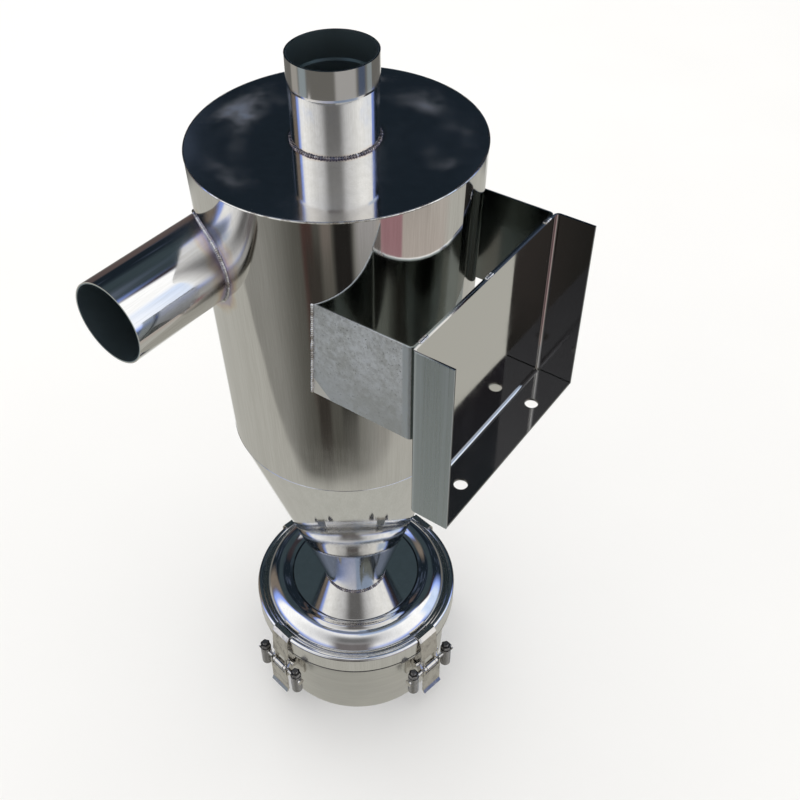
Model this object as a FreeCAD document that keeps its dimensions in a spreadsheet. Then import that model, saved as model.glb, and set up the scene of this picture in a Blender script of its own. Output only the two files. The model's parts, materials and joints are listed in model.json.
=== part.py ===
import FreeCAD, Part
import math
import os

import Sketcher
from FreeCAD import Rotation, Vector

# Cyclone separator standing on its own dust bin, in millimetres, +Z up.
# The origin is the centre of the bin's underside. +X runs out through the mounting
# tray, and the inlet pipe points towards -Y.

# Driving dimensions, one cell of the sheet each.
SIZES = {
    # heights of the stacked pieces, from the floor up
    "bin_height": 85.0,             # floor to the top of the bin's rim
    "gasket_thickness": 3.0,
    "lid_skirt_height": 17.0,       # gasket to where the lid's edge starts to roll over
    "lid_rise": 32.0,               # gasket to the lid's flat middle
    "cone_height": 237.0,
    "barrel_height": 264.5,
    "outlet_rise": 63.0,            # stub above the top plate
    # radii, all to the outside of the sheet
    "barrel_top_radius": 108.0,
    "barrel_bottom_radius": 100.0,
    "neck_radius": 30.0,
    "pipe_radius": 31.75,
    "bin_top_radius": 97.0,
    "bin_bottom_radius": 93.0,
    "lid_overhang": 6.6,            # lid's edge beyond the top of the bin's wall
    # sheet and wall thicknesses
    "shell_wall": 1.2,
    "pipe_wall": 1.5,
    "top_plate_thickness": 1.5,
    "lid_sheet": 1.0,
    "bin_sheet": 1.0,
    "strap_sheet": 1.5,
    "tray_sheet": 2.0,
    # outlet and inlet
    "outlet_depth": 118.0,          # vortex finder below the top plate
    "spigot_length": 20.0,          # expanded end of the outlet
    "spigot_step": 0.6,
    "inlet_drop": 71.0,             # pipe axis below the top plate
    "inlet_offset": 48.0,           # pipe axis to one side of the barrel's axis
    "inlet_reach": 188.0,           # barrel's axis to the mouth
    "inlet_turn": 2.4,              # degrees off square with the tray
    "weld_bead": 2.4,
    # lid pressing
    "lid_flat_inset": 38.6,         # lid's edge in to the flat middle
    "lid_crown_inset": 8.0,         # lid's edge in to the outer foot of the raised ring
    "lid_ridge_shift": 2.0,         # ridge of the raised ring, inward of its middle
    "lid_crown_rise": 5.0,          # raised ring above the flat middle
    "lid_groove_depth": 4.0,        # groove below the top of the rolled edge
    "lid_bead_radius": 3.4,
    "rim_flange": 6.0,              # bin's rim beyond its wall
    "rim_thickness": 2.5,
    "gasket_inset": 3.0,            # gasket's inner edge inside the bin's wall
    "gasket_tuck": 0.6,             # gasket's outer edge inside the lid's skirt
    # mounting bracket
    "bracket_drop": 67.5,           # its upper edge below the top plate
    "bracket_gap": 22.5,            # barrel's top edge to the face where both sheets meet
    "strap_inset": 14.0,            # barrel's top edge in to the outer side of each arm
    "strap_height": 85.0,
    "tray_margin": 2.0,             # tray wider than the strap at each side
    "tray_height": 157.0,
    "tray_flange": 33.0,
    "bend_radius": 2.5,
    "tray_hole_radius": 5.5,
    "tray_hole_spacing": 108.0,
    "tray_hole_setback": 19.0,      # hole centre from the tray's back
    "tray_slit": 0.8,               # bottom flange to the side flanges
    "tack_length": 8.0,
    "tack_height": 1.2,
    # latches
    "latch_turn": -10.0,            # first latch, degrees from +X
    "latch_pivot_height": 68.0,
    "latch_pivot_reach": 4.5,       # pivot outside the base plate
    "latch_bar_reach": 6.5,         # cross bar outside the pivot
    "latch_bar_drop": 9.0,          # cross bar below the pivot
    "latch_pin_radius": 2.3,
    "pin_head_height": 0.9,
    "pin_head_rim": 1.0,            # head wider than its pin
    "bar_head_height": 1.6,
    "bar_head_rim": 1.2,
    "latch_eye": 1.3,               # metal around a pin's hole
    "latch_sheet": 2.0,
    "latch_gap": 0.7,               # side play between the leaves on a pin
    "latch_hook_width": 22.5,
    "latch_leg_width": 2.5,
    "latch_roller_radius": 3.9,
    "latch_roller_length": 12.0,
    "latch_base_height": 30.0,
    "latch_base_sweep": 24.0,       # degrees around the bin
    "latch_handle_length": 33.0,
    "latch_handle_width": 24.0,
    "handle_flare": 4.0,            # height of the kicked-out end of the handle
    "handle_kick": 2.0,
    "hook_sheet": 1.5,
    "spring_radius": 5.5,
    "spring_length": 25.0,
    "spring_spacing": 48.0,
    "spring_nut_radius": 5.2,
    "spring_nut_height": 5.0,
    "rod_end_height": 3.0,
    "hook_clearance": 0.5,          # hook to the lid's edge
    "pin_clearance": 0.08,
}
LATCH_COUNT = 4
ARC_SLACK = 1.001       # an arc that is close to a half turn, over half its chord
BEYOND = 1              # cutters reach this far past what they cut
WELD_SPREAD = 1.2       # a fillet bead is this much longer on its flat side
SPIGOT_RAMP = 2         # height of the cone up to the expanded end

doc = FreeCAD.newDocument("cyclone_separator")
sheet = doc.addObject("Spreadsheet::Sheet", "Sizes")
for row, (alias, number) in enumerate(SIZES.items(), start=1):
    sheet.set(f"A{row}", alias)
    sheet.set(f"B{row}", str(number))
    sheet.setAlias(f"B{row}", alias)
doc.recompute()

finished = []       # the sub-parts that are written out, in order


class Dim:
    """A size worked out from the sheet: the expression, with its value beside it."""

    def __init__(self, text, value):
        self.text = text
        self.value = value

    def __add__(self, other):
        other = dim(other)
        return Dim(f"({self.text} + {other.text})", self.value + other.value)

    def __sub__(self, other):
        other = dim(other)
        return Dim(f"({self.text} - {other.text})", self.value - other.value)

    def __mul__(self, other):
        other = dim(other)
        return Dim(f"({self.text} * {other.text})", self.value * other.value)

    def __truediv__(self, other):
        other = dim(other)
        return Dim(f"({self.text} / {other.text})", self.value / other.value)

    def __rsub__(self, other):
        return dim(other) - self

    def __neg__(self):
        return dim(0) - self

    __radd__ = __add__
    __rmul__ = __mul__


def dim(number):
    """A plain number as a Dim; a Dim comes back as it is."""
    if isinstance(number, Dim):
        return number
    return Dim(f"({float(number)})", float(number))


def cell(alias):
    return Dim(f"Sizes.{alias}", float(sheet.get(alias)))


def bind(thing, prop, size):
    """Tie a property to the sheet, and give it its value."""
    thing.setExpression(prop, dim(size).text)


def place(thing, x=0, y=0, z=0):
    for axis, size in (("x", x), ("y", y), ("z", z)):
        if dim(size).text != "(0.0)":
            bind(thing, f"Placement.Base.{axis}", size)


def turn(thing, angle):
    """Turn a thing about the frame's Z axis."""
    thing.Placement.Rotation = Rotation(Vector(0, 0, 1), 1)
    bind(thing, "Placement.Rotation.Angle", angle)


def keep(thing, node):
    """Name a finished sub-part and list it for writing."""
    thing.Label = node
    finished.append(thing)
    return thing


# ---- sketches and bodies --------------------------------------------------------

def new_body(name):
    return doc.addObject("PartDesign::Body", name)


def new_sketch(body, role):
    sketch = body.newObject("Sketcher::SketchObject", "Sketch")
    plane = next(item for item in body.Origin.OriginFeatures if item.Role == role)
    sketch.AttachmentSupport = [(plane, "")]
    sketch.MapMode = "FlatFace"
    return sketch


def fix_point(sketch, geo, point, axis, size):
    """Hold one end of a piece of geometry at a size from the sketch's origin."""
    if dim(size).text == "(0.0)":
        line = -2 if axis == "X" else -1
        sketch.addConstraint(Sketcher.Constraint("PointOnObject", geo, point, line))
        return
    rule = Sketcher.Constraint(f"Distance{axis}", -1, 1, geo, point, dim(size).value)
    index = sketch.addConstraint(rule)
    sketch.setExpression(f"Constraints[{index}]", dim(size).text)


def arc_through(start, end, radius):
    """The short arc between two points, bulging to the left of the way for radius > 0."""
    chord = end - start
    side = Vector(-chord.y, chord.x, 0).normalize()
    sagitta_leg = math.sqrt(radius ** 2 - (chord.Length / 2) ** 2)
    way = 1 if radius > 0 else -1
    centre = (start + end) * 0.5 - side * (way * sagitta_leg)
    top = centre + side * (way * abs(radius))
    return Part.Arc(start, top, end)


def outline(sketch, corners):
    """A closed outline. A corner is (across, up), or (across, up, radius) where an arc
    of that radius leads on to the next corner."""
    spots = [Vector(dim(c[0]).value, dim(c[1]).value, 0) for c in corners]
    ends = []
    for number, corner in enumerate(corners):
        start = spots[number]
        end = spots[(number + 1) % len(spots)]
        if len(corner) == 3:
            arc = arc_through(start, end, corner[2].value)
            geo = sketch.addGeometry(arc, False)
            first = sketch.getPoint(geo, 1)
            ends.append((geo, 1, 2) if first.distanceToPoint(start) < 1e-6 else (geo, 2, 1))
        else:
            geo = sketch.addGeometry(Part.LineSegment(start, end), False)
            ends.append((geo, 1, 2))
    for number, (geo, first, last) in enumerate(ends):
        after, after_first, _ = ends[(number + 1) % len(ends)]
        sketch.addConstraint(Sketcher.Constraint("Coincident", geo, last, after, after_first))
    for (geo, first, last), corner in zip(ends, corners):
        fix_point(sketch, geo, first, "X", corner[0])
        fix_point(sketch, geo, first, "Y", corner[1])
        if len(corner) == 3:
            rule = Sketcher.Constraint("Radius", geo, abs(corner[2].value))
            index = sketch.addConstraint(rule)
            text = corner[2].text if corner[2].value > 0 else (-corner[2]).text
            sketch.setExpression(f"Constraints[{index}]", text)


def ring(sketch, x, y, radius):
    """A circle at a place in the sketch."""
    circle = Part.Circle(Vector(dim(x).value, dim(y).value, 0), Vector(0, 0, 1), radius.value)
    geo = sketch.addGeometry(circle, False)
    fix_point(sketch, geo, 3, "X", x)
    fix_point(sketch, geo, 3, "Y", y)
    index = sketch.addConstraint(Sketcher.Constraint("Radius", geo, radius.value))
    sketch.setExpression(f"Constraints[{index}]", radius.text)


def spun(name, corners, sweep=None):
    """A body turned about Z from a section in the XZ plane: all the way round, or
    through a sweep with +X in its middle."""
    body = new_body(name)
    sketch = new_sketch(body, "XZ_Plane")
    outline(sketch, corners)
    feature = body.newObject("PartDesign::Revolution", "Revolution")
    feature.Profile = sketch
    feature.ReferenceAxis = (sketch, ["V_Axis"])
    if sweep is not None:
        feature.Midplane = True
        bind(feature, "Angle", sweep)
    return body


def padded(body, role, corners, length, both_ways=False):
    """Pad an outline, from the plane or evenly to both sides of it."""
    sketch = new_sketch(body, role)
    outline(sketch, corners)
    feature = body.newObject("PartDesign::Pad", "Pad")
    feature.Profile = sketch
    feature.Midplane = both_ways
    bind(feature, "Length", length)
    return feature


def pocketed(body, role, length, corners=None, hole=None):
    """Cut evenly to both sides of a plane: an outline, or a hole (x, y, radius)."""
    sketch = new_sketch(body, role)
    if hole is not None:
        ring(sketch, *hole)
    else:
        outline(sketch, corners)
    feature = body.newObject("PartDesign::Pocket", "Pocket")
    feature.Profile = sketch
    feature.Midplane = True
    bind(feature, "Length", length)
    return feature


def box(x, y, z, length, width, height):
    block = doc.addObject("Part::Box", "Box")
    bind(block, "Length", length)
    bind(block, "Width", width)
    bind(block, "Height", height)
    place(block, x, y, z)
    return block


def rod(x, y, z, radius, length, along_y=False):
    """A cylinder from a point, upwards or towards +Y."""
    bar = doc.addObject("Part::Cylinder", "Cylinder")
    bind(bar, "Radius", radius)
    bind(bar, "Height", length)
    if along_y:
        bar.Placement.Rotation = Rotation(Vector(1, 0, 0), -90)
    place(bar, x, y, z)
    return bar


def taper(z, low_radius, high_radius, height):
    solid = doc.addObject("Part::Cone", "Cone")
    bind(solid, "Radius1", low_radius)
    bind(solid, "Radius2", high_radius)
    bind(solid, "Height", height)
    place(solid, z=z)
    return solid


def cut(base, tool):
    result = doc.addObject("Part::Cut", "Cut")
    result.Base = base
    result.Tool = tool
    return result


def common(one, other):
    result = doc.addObject("Part::MultiCommon", "Common")
    result.Shapes = [one, other]
    return result


def fuse(things):
    result = doc.addObject("Part::MultiFuse", "Fusion")
    result.Shapes = things
    return result


def rounded(body, radius, wanted):
    """Round the edges of a body that pass a test on their end points."""
    doc.recompute()
    base = body.Tip
    names = []
    for number, edge in enumerate(base.Shape.Edges, start=1):
        if wanted([vertex.Point for vertex in edge.Vertexes]):
            names.append(f"Edge{number}")
    feature = body.newObject("PartDesign::Fillet", "Fillet")
    feature.Base = (base, names)
    bind(feature, "Radius", radius)
    return feature


# ---- levels and radii that several pieces share -----------------------------------

seam = cell("bin_height") + cell("gasket_thickness")        # underside of the lid's skirt
lid_top = seam + cell("lid_rise")                           # flat middle, under the cone
barrel_foot = lid_top + cell("cone_height")
plate_under = barrel_foot + cell("barrel_height")
plate_top = plate_under + cell("top_plate_thickness")
bracket_top = plate_top - cell("bracket_drop")
inlet_level = plate_top - cell("inlet_drop")
pipe_bore = cell("pipe_radius") - cell("pipe_wall")
neck_bore = cell("neck_radius") - cell("shell_wall")
lid_radius = cell("bin_top_radius") + cell("lid_overhang")
bracket_face = cell("barrel_top_radius") + cell("bracket_gap")
strap_half = cell("barrel_top_radius") - cell("strap_inset")
tray_half = strap_half + cell("tray_margin")


def bin_radius(level):
    """Outside of the bin's wall at a level."""
    spread = cell("bin_top_radius") - cell("bin_bottom_radius")
    return cell("bin_bottom_radius") + spread * (level / cell("bin_height"))


# ---- outlet, top plate, barrel and cone --------------------------------------------

def make_outlet_pipe():
    """Stub above the plate with an expanded end, and the vortex finder below it."""
    foot = plate_top - cell("outlet_depth")
    rim = plate_top + cell("outlet_rise")
    step = rim - cell("spigot_length")
    radius = cell("pipe_radius")
    wide = radius + cell("spigot_step")
    wall = cell("pipe_wall")
    keep(spun("OutletPipe", [
        (radius, foot), (radius, step - SPIGOT_RAMP), (wide, step), (wide, rim),
        (wide - wall, rim), (wide - wall, step), (radius - wall, step - SPIGOT_RAMP),
        (radius - wall, foot)]), "outlet_pipe")


def make_outlet_weld():
    radius = cell("pipe_radius")
    bead = cell("weld_bead")
    keep(spun("OutletWeld", [
        (radius, plate_top), (radius + bead, plate_top, -bead * WELD_SPREAD),
        (radius, plate_top + bead)]), "outlet_weld")


def make_top_plate():
    keep(spun("TopPlate", [
        (cell("pipe_radius"), plate_under), (cell("barrel_top_radius"), plate_under),
        (cell("barrel_top_radius"), plate_top), (cell("pipe_radius"), plate_top)]),
        "top_plate")


def barrel_solid(extra=0):
    """The barrel's outside as a solid, with an even skin added."""
    return taper(barrel_foot, cell("barrel_bottom_radius") + extra,
                 cell("barrel_top_radius") + extra, cell("barrel_height"))


def inlet_solid(name, outer, bore=None):
    """The inlet pipe's run from the barrel's axis, solid or as a tube."""
    body = new_body(name)
    sketch = new_sketch(body, "XZ_Plane")
    ring(sketch, -cell("inlet_offset"), inlet_level, outer)
    if bore is not None:
        ring(sketch, -cell("inlet_offset"), inlet_level, bore)
    feature = body.newObject("PartDesign::Pad", "Pad")
    feature.Profile = sketch
    bind(feature, "Length", cell("inlet_reach"))
    turn(body, -cell("inlet_turn"))
    return body


def make_barrel():
    top = cell("barrel_top_radius")
    low = cell("barrel_bottom_radius")
    wall = cell("shell_wall")
    shell = spun("BarrelBlank", [
        (low, barrel_foot), (top, plate_under), (top - wall, plate_under),
        (low - wall, barrel_foot)])
    keep(cut(shell, inlet_solid("InletBore", pipe_bore)), "barrel_shell")


def make_cone():
    wall = cell("shell_wall")
    keep(spun("Cone", [
        (cell("neck_radius"), lid_top), (cell("barrel_bottom_radius"), barrel_foot),
        (cell("barrel_bottom_radius") - wall, barrel_foot), (neck_bore, lid_top)]),
        "cone_shell")


def make_neck_weld():
    """Bead where the cone's end stands on the lid."""
    bead = cell("weld_bead")
    slope = (cell("barrel_bottom_radius") - cell("neck_radius")) / cell("cone_height")
    keep(spun("NeckWeld", [
        (cell("neck_radius"), lid_top), (cell("neck_radius") + bead, lid_top, -bead * WELD_SPREAD),
        (cell("neck_radius") + slope * bead, lid_top + bead)]), "neck_weld")


def make_inlet():
    blank = inlet_solid("InletBlank", cell("pipe_radius"), pipe_bore)
    keep(cut(blank, barrel_solid()), "inlet_pipe")
    bead = cell("weld_bead")
    skin = cut(barrel_solid(bead), barrel_solid())
    collar = inlet_solid("InletCollar", cell("pipe_radius") + bead, cell("pipe_radius"))
    keep(common(skin, collar), "inlet_weld")


# ---- mounting bracket ---------------------------------------------------------------

def vertical_at(x, y):
    """A test for upright edges at a place in plan, on either side."""
    def test(points):
        upright = abs(points[0].z - points[-1].z) > 1
        return upright and all(abs(p.x - x) < 1e-4 and abs(abs(p.y) - y) < 1e-4 for p in points)
    return test


def make_strap():
    """Folded strap from the barrel out to the tray: two arms and a web."""
    half = strap_half
    face = bracket_face
    gauge = cell("strap_sheet")
    start = cell("barrel_bottom_radius") / 4
    body = new_body("Strap")
    padded(body, "XY_Plane", [
        (start, -half), (face, -half), (face, half), (start, half),
        (start, half - gauge), (face - gauge, half - gauge),
        (face - gauge, gauge - half), (start, gauge - half)], cell("strap_height"))
    rounded(body, cell("bend_radius"),
            vertical_at((face - gauge).value, (half - gauge).value))
    rounded(body, cell("bend_radius") + gauge, vertical_at(face.value, half.value))
    place(body, z=bracket_top - cell("strap_height"))
    keep(cut(body, barrel_solid()), "mounting_strap")


def make_strap_welds():
    """Fillet beads down the outer side of each arm, on the barrel."""
    bead = cell("weld_bead")
    skin = cut(barrel_solid(bead * WELD_SPREAD), barrel_solid())
    length = cell("strap_height")
    strips = [box(0, side, bracket_top - length, cell("barrel_top_radius"), bead, length)
              for side in (strap_half, -strap_half - bead)]
    keep(common(skin, fuse(strips)), "strap_welds")


def make_tray():
    """Folded tray: web, a flange out at each side and one at the bottom with two holes."""
    half = tray_half
    gauge = cell("tray_sheet")
    face = bracket_face
    front = face + cell("tray_flange")
    bend = cell("bend_radius")
    body = new_body("Tray")
    padded(body, "XY_Plane", [
        (face, -half), (front, -half), (front, gauge - half), (face + gauge, gauge - half),
        (face + gauge, half - gauge), (front, half - gauge), (front, half), (face, half)],
        cell("tray_height"))
    rounded(body, bend, vertical_at((face + gauge).value, (half - gauge).value))
    rounded(body, bend + gauge, vertical_at(face.value, half.value))
    reach = half - gauge - cell("tray_slit")
    padded(body, "XY_Plane", [
        (face, bend + gauge - half), (face + gauge + bend, bend + gauge - half),
        (face + gauge + bend, -reach), (front, -reach), (front, reach),
        (face + gauge + bend, reach), (face + gauge + bend, half - bend - gauge),
        (face, half - bend - gauge)], gauge)
    fold = (half - bend - gauge) * 2
    inside = face + gauge
    padded(body, "XZ_Plane", [
        (inside, gauge), (inside + bend, gauge, bend), (inside, gauge + bend)],
        fold, both_ways=True)
    pocketed(body, "XZ_Plane", fold, corners=[
        (face, 0), (face + bend + gauge, 0, bend + gauge), (face, bend + gauge)])
    for side in (-1, 1):
        spot = (face + cell("tray_hole_setback"), side * (cell("tray_hole_spacing") / 2))
        pocketed(body, "XY_Plane", gauge * 2 + BEYOND, hole=(*spot, cell("tray_hole_radius")))
    place(body, z=bracket_top - cell("tray_height"))
    keep(body, "mounting_tray")


def make_web_tacks():
    """Three tack welds over the upper edge where the strap and tray lie back to back."""
    width = cell("tray_sheet") + cell("strap_sheet")
    length = cell("tack_length")
    spread = strap_half - cell("bend_radius") - cell("strap_sheet") - length
    tacks = []
    for share in (-1, 0, 1):
        tacks.append(box(bracket_face - cell("strap_sheet"), spread * share - length / 2,
                         bracket_top, width, length, cell("tack_height")))
    keep(fuse(tacks), "web_tacks")


# ---- lid, gasket and bin ------------------------------------------------------------

bead_out = cell("lid_bead_radius")
bead_centre = lid_radius - bead_out         # middle of the rolled outer edge
bead_level = seam + cell("lid_skirt_height")
bead_crest = bead_level + bead_out
groove = bead_crest - cell("lid_groove_depth")
groove_end = bead_centre - bead_out                 # where the pressing meets the rim


def make_lid_pressing():
    """Flat middle, raised ring and groove, pressed in one sheet."""
    gauge = cell("lid_sheet")
    flat = lid_radius - cell("lid_flat_inset")
    crown = lid_radius - cell("lid_crown_inset")
    ridge = (flat + crown) / 2 - cell("lid_ridge_shift")
    crest = lid_top + cell("lid_crown_rise")
    rise_bow = (crown - flat) * 0.75
    fall_bow = (crown - flat) * 0.85
    keep(spun("LidPressing", [
        (neck_bore, lid_top), (flat, lid_top, rise_bow), (ridge, crest, fall_bow),
        (crown, groove), (groove_end, groove), (groove_end, groove - gauge),
        (crown - gauge, groove - gauge, -(fall_bow - gauge)),
        (ridge, crest - gauge, -(rise_bow - gauge)), (flat + gauge / 2, lid_top - gauge),
        (neck_bore, lid_top - gauge)]), "lid_pressing")


def make_lid_rim():
    """Rolled outer edge, with the skirt that comes down to the gasket."""
    gauge = cell("lid_sheet")
    out = lid_radius
    bow = bead_out * ARC_SLACK
    inner_bow = (bead_out - gauge) * ARC_SLACK
    keep(spun("LidRim", [
        (groove_end, bead_level, bow), (bead_centre, bead_crest, bow), (out, bead_level),
        (out, seam), (out - gauge, seam), (out - gauge, bead_level, -inner_bow),
        (bead_centre, bead_crest - gauge, -inner_bow),
        (groove_end + gauge, bead_level), (groove_end + gauge, groove - gauge),
        (groove_end, groove - gauge)]), "lid_rim")


def make_gasket():
    low = cell("bin_height")
    inner = cell("bin_top_radius") - cell("gasket_inset")
    out = lid_radius - cell("gasket_tuck")
    keep(spun("Gasket", [(inner, low), (out, low), (out, seam), (inner, seam)]), "lid_gasket")


def bin_solid():
    """The bin's outside as a solid."""
    return taper(dim(0), cell("bin_bottom_radius"), cell("bin_top_radius"), cell("bin_height"))


def make_bin():
    gauge = cell("bin_sheet")
    low = cell("bin_bottom_radius")
    top = cell("bin_top_radius")
    height = cell("bin_height")
    keep(spun("BinWall", [
        (low, 0), (top, height), (top - gauge, height), (low - gauge, 0)]), "bin_wall")
    keep(spun("BinFloor", [
        (0, 0), (low - gauge, 0), (bin_radius(gauge) - gauge, gauge), (0, gauge)]),
        "bin_floor")
    lip = height - cell("rim_thickness")
    keep(spun("BinRim", [
        (bin_radius(lip), lip), (top + cell("rim_flange"), lip),
        (top + cell("rim_flange"), height), (top, height)]), "bin_rim")


# ---- latches --------------------------------------------------------------------------
# Each is worked out with its middle on +X, x being the distance from the bin's axis,
# and then turned into place.

base_face = bin_radius(cell("latch_pivot_height")) + cell("latch_sheet")
pivot_x = base_face + cell("latch_pivot_reach")
pivot_z = cell("latch_pivot_height")
bar_x = pivot_x + cell("latch_bar_reach")
bar_z = pivot_z - cell("latch_bar_drop")
eye = cell("latch_pin_radius") + cell("latch_eye")
# the leaves on the pins, from the middle outwards: roller, hook legs, cheeks, ears
leg_in = cell("latch_roller_length") / 2 + cell("latch_gap")
leg_out = leg_in + cell("latch_leg_width")
cheek_in = leg_out + cell("latch_gap")
cheek_out = cheek_in + cell("latch_sheet")
ear_in = cheek_out + cell("latch_gap")
ear_out = ear_in + cell("latch_sheet")
pin_hole = cell("latch_pin_radius") + cell("pin_clearance")


def make_latch_base(name):
    """Curved plate on the bin's wall with two ears for the pivot."""
    height = cell("latch_base_height")
    top = pivot_z + height / 3
    low = top - height
    gauge = cell("latch_sheet")
    body = spun(name, [
        (bin_radius(low), low), (bin_radius(low) + gauge, low),
        (bin_radius(top) + gauge, top), (bin_radius(top), top)], cell("latch_base_sweep"))
    root = bin_radius(low) - gauge
    nose = pivot_x + eye
    padded(body, "XZ_Plane", [
        (root, pivot_z - eye * 2), (pivot_x, pivot_z - eye, -eye * ARC_SLACK),
        (nose, pivot_z, -eye * ARC_SLACK), (pivot_x, pivot_z + eye), (root, pivot_z + eye * 2)],
        ear_out * 2, both_ways=True)
    slot_foot = bin_radius(low) + gauge
    slot_head = bin_radius(top) + gauge
    pocketed(body, "XZ_Plane", ear_in * 2, corners=[
        (slot_foot, low), (nose + BEYOND, low), (nose + BEYOND, top), (slot_head, top)])
    pocketed(body, "XZ_Plane", (ear_out + BEYOND) * 2,
             hole=(pivot_x, pivot_z, cell("latch_pin_radius")))
    return cut(body, bin_solid())


def headed_pin(x, z, half, head_height, head_rim):
    """Round bar along Y with a flat head on each end."""
    radius = cell("latch_pin_radius")
    shaft = rod(x, -half, z, radius, half * 2, along_y=True)
    heads = [rod(x, side, z, radius + head_rim, head_height, along_y=True)
             for side in (half, -half - head_height)]
    return [shaft, *heads]


def make_latch_pin():
    half = ear_out + cell("pin_clearance")
    return fuse(headed_pin(pivot_x, pivot_z, half, cell("pin_head_height"),
                           cell("pin_head_rim")))


def make_latch_lever(name):
    """Two cheeks from the pivot to the cross bar, joined by the handle below."""
    gauge = cell("latch_sheet")
    foot = bar_z - eye - cell("latch_handle_length")
    flare = foot + cell("handle_flare")
    kick = cell("handle_kick")
    grip = bar_z - eye - cell("latch_gap")
    web_foot = grip - gauge * 2.5
    out = bar_x + eye
    round_end = -eye * ARC_SLACK
    body = new_body(name)
    padded(body, "XZ_Plane", [
        (out - gauge, grip), (out - gauge, flare), (out + kick - gauge, foot),
        (out + kick, foot), (out, flare), (out, grip)],
        cell("latch_handle_width"), both_ways=True)
    padded(body, "XZ_Plane", [
        (pivot_x - eye, pivot_z), (bar_x - eye, web_foot), (out, web_foot),
        (out, bar_z + eye), (bar_x, bar_z + eye), (pivot_x + eye, pivot_z, round_end),
        (pivot_x, pivot_z + eye, round_end)],
        cheek_out * 2, both_ways=True)
    back = pivot_x - eye - BEYOND
    low = web_foot - BEYOND
    high = pivot_z + eye + BEYOND
    pocketed(body, "XZ_Plane", cheek_in * 2, corners=[
        (back, low), (out - gauge, low), (out - gauge, grip), (out + BEYOND, grip),
        (out + BEYOND, high), (back, high)])
    for spot in ((pivot_x, pivot_z), (bar_x, bar_z)):
        pocketed(body, "XZ_Plane", (cheek_out + BEYOND) * 2, hole=(*spot, pin_hole))
    return body


def make_latch_crossbar():
    """Bar through the lever and both spring barrels, with a roller in its middle."""
    half = cell("spring_spacing") / 2 + cell("spring_radius") + cell("latch_gap")
    roller = cell("latch_roller_length")
    sleeve = rod(bar_x, -roller / 2, bar_z, cell("latch_roller_radius"), roller, along_y=True)
    return fuse([sleeve, *headed_pin(bar_x, bar_z, half, cell("bar_head_height"),
                                     cell("bar_head_rim"))])


def make_latch_hook(name):
    """Plate that grips the lid's rolled edge, on two legs from the cross bar."""
    gauge = cell("hook_sheet")
    gap = cell("hook_clearance")
    under = bead_crest + gap
    inner = lid_radius + gap * 2
    tip = bead_centre - bead_out * 0.75
    turn_in = bead_centre + bead_out * 0.62         # where the plate turns over the edge
    turn_out = turn_in + gauge / 2
    foot_x = bar_x - gauge / 2
    fork = pivot_z + eye * 2
    lean = (foot_x - inner) / (bead_level - bar_z)
    fork_x = inner + lean * (bead_level - fork)
    body = new_body(name)
    padded(body, "XZ_Plane", [
        (tip, under - gap), (tip + gap, under), (turn_in, under), (inner, bead_level),
        (fork_x, fork), (fork_x + gauge, fork), (inner + gauge, bead_level + gauge / 2),
        (turn_out, under + gauge), (tip, under + gauge)],
        cell("latch_hook_width"), both_ways=True)
    padded(body, "XZ_Plane", [
        (foot_x, bar_z), (fork_x - lean * BEYOND, fork + BEYOND),
        (fork_x + gauge - lean * BEYOND, fork + BEYOND), (foot_x + gauge, bar_z)],
        leg_out * 2, both_ways=True)
    sketch = new_sketch(body, "XZ_Plane")
    ring(sketch, bar_x, bar_z, eye)
    feature = body.newObject("PartDesign::Pad", "Pad")
    feature.Profile = sketch
    feature.Midplane = True
    bind(feature, "Length", leg_out * 2)
    back = bar_x - eye - BEYOND
    front = bar_x + eye + BEYOND
    low = bar_z - eye - BEYOND
    pocketed(body, "XZ_Plane", leg_in * 2, corners=[
        (back, low), (front, low), (front, fork), (back, fork)])
    pocketed(body, "XZ_Plane", (leg_out + BEYOND) * 2,
             hole=(bar_x, bar_z, cell("latch_pin_radius")))
    return body


def make_latch_springs():
    """Spring barrels on the ends of the cross bar, each with its nut and rod end."""
    barrels = []
    radius = cell("spring_radius")
    top = bar_z + radius
    for side in (-1, 1):
        y = side * (cell("spring_spacing") / 2)
        barrel = rod(bar_x, y, top - cell("spring_length"), radius, cell("spring_length"))
        nut = doc.addObject("Part::Prism", "Nut")
        nut.Polygon = 6
        bind(nut, "Circumradius", cell("spring_nut_radius"))
        bind(nut, "Height", cell("spring_nut_height"))
        place(nut, bar_x, y, top)
        end = rod(bar_x, y, top + cell("spring_nut_height"), radius / 2,
                  cell("rod_end_height"))
        barrels.append(fuse([barrel, nut, end]))
    half = cell("spring_spacing") / 2 + radius + BEYOND
    hole = rod(bar_x, -half, bar_z, cell("latch_pin_radius"), half * 2, along_y=True)
    return cut(fuse(barrels), hole)


def make_latches():
    for number in range(1, LATCH_COUNT + 1):
        angle = cell("latch_turn") + (number - 1) * 360 / LATCH_COUNT
        pieces = {
            "base": make_latch_base(f"LatchBase{number}"),
            "pin": make_latch_pin(),
            "lever": make_latch_lever(f"LatchLever{number}"),
            "crossbar": make_latch_crossbar(),
            "hook": make_latch_hook(f"LatchHook{number}"),
            "springs": make_latch_springs(),
        }
        for piece, thing in pieces.items():
            turn(thing, angle)
            keep(thing, f"latch_{number}_{piece}")


def check_and_write():
    doc.recompute()
    faults = []
    for thing in doc.Objects:
        if "Invalid" in thing.State or "Error" in thing.State:
            faults.append(f"{thing.Label}: {thing.State}")
    for thing in finished:
        shape = thing.Shape
        if shape.isNull() or not shape.isValid() or not shape.Solids:
            faults.append(f"{thing.Label}: bad shape")
    if faults:
        raise RuntimeError("; ".join(faults))
    os.makedirs("parts", exist_ok=True)
    for thing in finished:
        thing.Shape.exportStep(f"parts/{thing.Label}.step")
    print(len(finished), "sub-parts written")


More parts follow.
